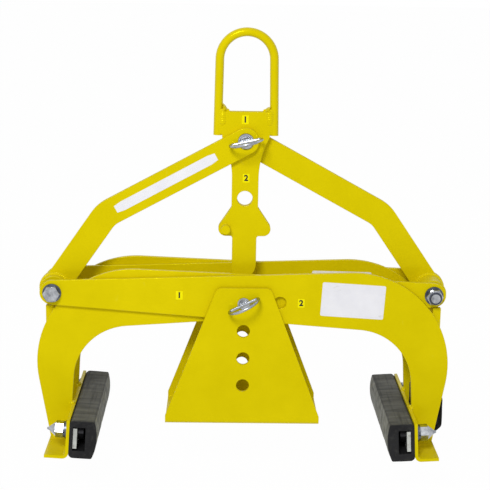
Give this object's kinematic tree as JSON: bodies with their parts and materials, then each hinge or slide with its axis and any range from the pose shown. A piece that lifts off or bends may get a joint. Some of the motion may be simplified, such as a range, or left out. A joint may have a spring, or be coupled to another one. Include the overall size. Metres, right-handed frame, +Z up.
{
  "type": "block laying tongs",
  "caption": "Scissor-action lifting tongs with a bent lifting ring, crossed plate arms, knee links, rubber-faced jaws and an adjustable press plate for laying concrete blocks.",
  "frame": {"origin": "on the floor the jaws stand on, midway between the two jaws and midway along them", "axes": "+X from the left jaw to the right jaw, -Y towards the side with the pull rings, +Z up through the lifting ring"},
  "size_m": [0.5366, 0.2, 0.5422],
  "materials": {
    "yellow_paint": "glossy yellow powder coat on plate steel",
    "zinc_steel": "zinc-plated fasteners and pins",
    "ring_wire": "bright round wire",
    "strip_steel": "bright flat bar",
    "black_rubber": "matt black rubber with dusty scuffs"
  },
  "bodies": {
    "pivot_body": {"centre_spacer_tube": "yellow_paint", "press_plate_washers": "zinc_steel"},
    "right_arm_body": {"right_arm_front_plate": "yellow_paint", "right_arm_rear_plate": "yellow_paint", "right_arm_tie_plate": "yellow_paint", "right_jaw_angle": "yellow_paint", "right_grip_pad": "black_rubber", "right_pad_strip": "strip_steel", "right_pad_bolts": "zinc_steel", "right_pad_washers": "zinc_steel", "right_pad_cap_nuts": "zinc_steel", "left_pivot_bolt": "zinc_steel", "left_pivot_nut": "zinc_steel", "left_pivot_washers": "zinc_steel", "right_jaw_bumper": "black_rubber"},
    "left_arm_body": {"left_arm_front_plate": "yellow_paint", "left_arm_rear_plate": "yellow_paint", "left_arm_tie_plate": "yellow_paint", "left_jaw_angle": "yellow_paint", "left_grip_pad": "black_rubber", "left_pad_strip": "strip_steel", "left_pad_bolts": "zinc_steel", "left_pad_washers": "zinc_steel", "left_pad_cap_nuts": "zinc_steel", "right_pivot_bolt": "zinc_steel", "right_pivot_nut": "zinc_steel", "right_pivot_washers": "zinc_steel"},
    "centre_pin_body": {"centre_pin": "zinc_steel", "centre_pin_ring": "ring_wire", "centre_pin_collar": "zinc_steel"},
    "link_washer_body": {"top_pin_washer": "zinc_steel"},
    "top_pin_body": {"top_pin": "zinc_steel", "top_pin_ring": "ring_wire", "top_pin_collar": "zinc_steel"},
    "left_link_body": {"left_link": "yellow_paint", "left_link_tube": "yellow_paint"},
    "right_link_body": {"right_link": "yellow_paint", "right_link_tube": "yellow_paint"},
    "spine_body": {"spine_plate": "yellow_paint", "lifting_ring": "yellow_paint", "front_link_stop": "yellow_paint", "rear_link_stop": "yellow_paint"},
    "press_plate_body": {"press_plate": "yellow_paint"}
  },
  "joints": [
    {"name": "right_arm_close", "type": "hinge", "parent": "pivot_body", "child": "right_arm_body", "pos_m": [0, 0, 0.1942], "axis": [0, 1, 0], "range_deg": [0, 15]},
    {"name": "left_arm_close", "type": "hinge", "parent": "pivot_body", "child": "left_arm_body", "pos_m": [0, 0, 0.1942], "axis": [0, 1, 0], "range_deg": [-15, 0]},
    {"name": "top_pin_lift", "type": "slide", "parent": "pivot_body", "child": "link_washer_body", "axis": [0, 0, 1], "range_m": [0, 0.0757]},
    {"name": "left_link_turn", "type": "hinge", "parent": "link_washer_body", "child": "left_link_body", "pos_m": [0, 0, 0.3992], "axis": [0, 1, 0], "range_deg": [-2.8, 0]},
    {"name": "right_link_turn", "type": "hinge", "parent": "link_washer_body", "child": "right_link_body", "pos_m": [0, 0, 0.3992], "axis": [0, 1, 0], "range_deg": [0, 2.8]},
    {"name": "spine_swing", "type": "hinge", "parent": "link_washer_body", "child": "spine_body", "pos_m": [0, 0, 0.3992], "axis": [0, 1, 0], "range_deg": [-30, 30]},
    {"name": "top_pin_turn", "type": "hinge", "parent": "link_washer_body", "child": "top_pin_body", "pos_m": [0, 0, 0.3992], "axis": [0, 1, 0], "range_deg": [-180, 180]},
    {"name": "centre_pin_turn", "type": "hinge", "parent": "pivot_body", "child": "centre_pin_body", "pos_m": [0, 0, 0.1942], "axis": [0, 1, 0], "range_deg": [-180, 180]},
    {"name": "press_plate_swing", "type": "hinge", "parent": "pivot_body", "child": "press_plate_body", "pos_m": [0, 0, 0.1942], "axis": [0, 1, 0], "range_deg": [-25, 25]}
  ],
  "couplings": [
    {"joint": "left_arm_close", "follows": "right_arm_close", "ratio": -1},
    {"joint": "top_pin_lift", "follows": "right_arm_close", "m_per_rad": 0.28875},
    {"joint": "left_link_turn", "follows": "right_arm_close", "ratio": -0.185},
    {"joint": "right_link_turn", "follows": "right_arm_close", "ratio": 0.185}
  ]
}
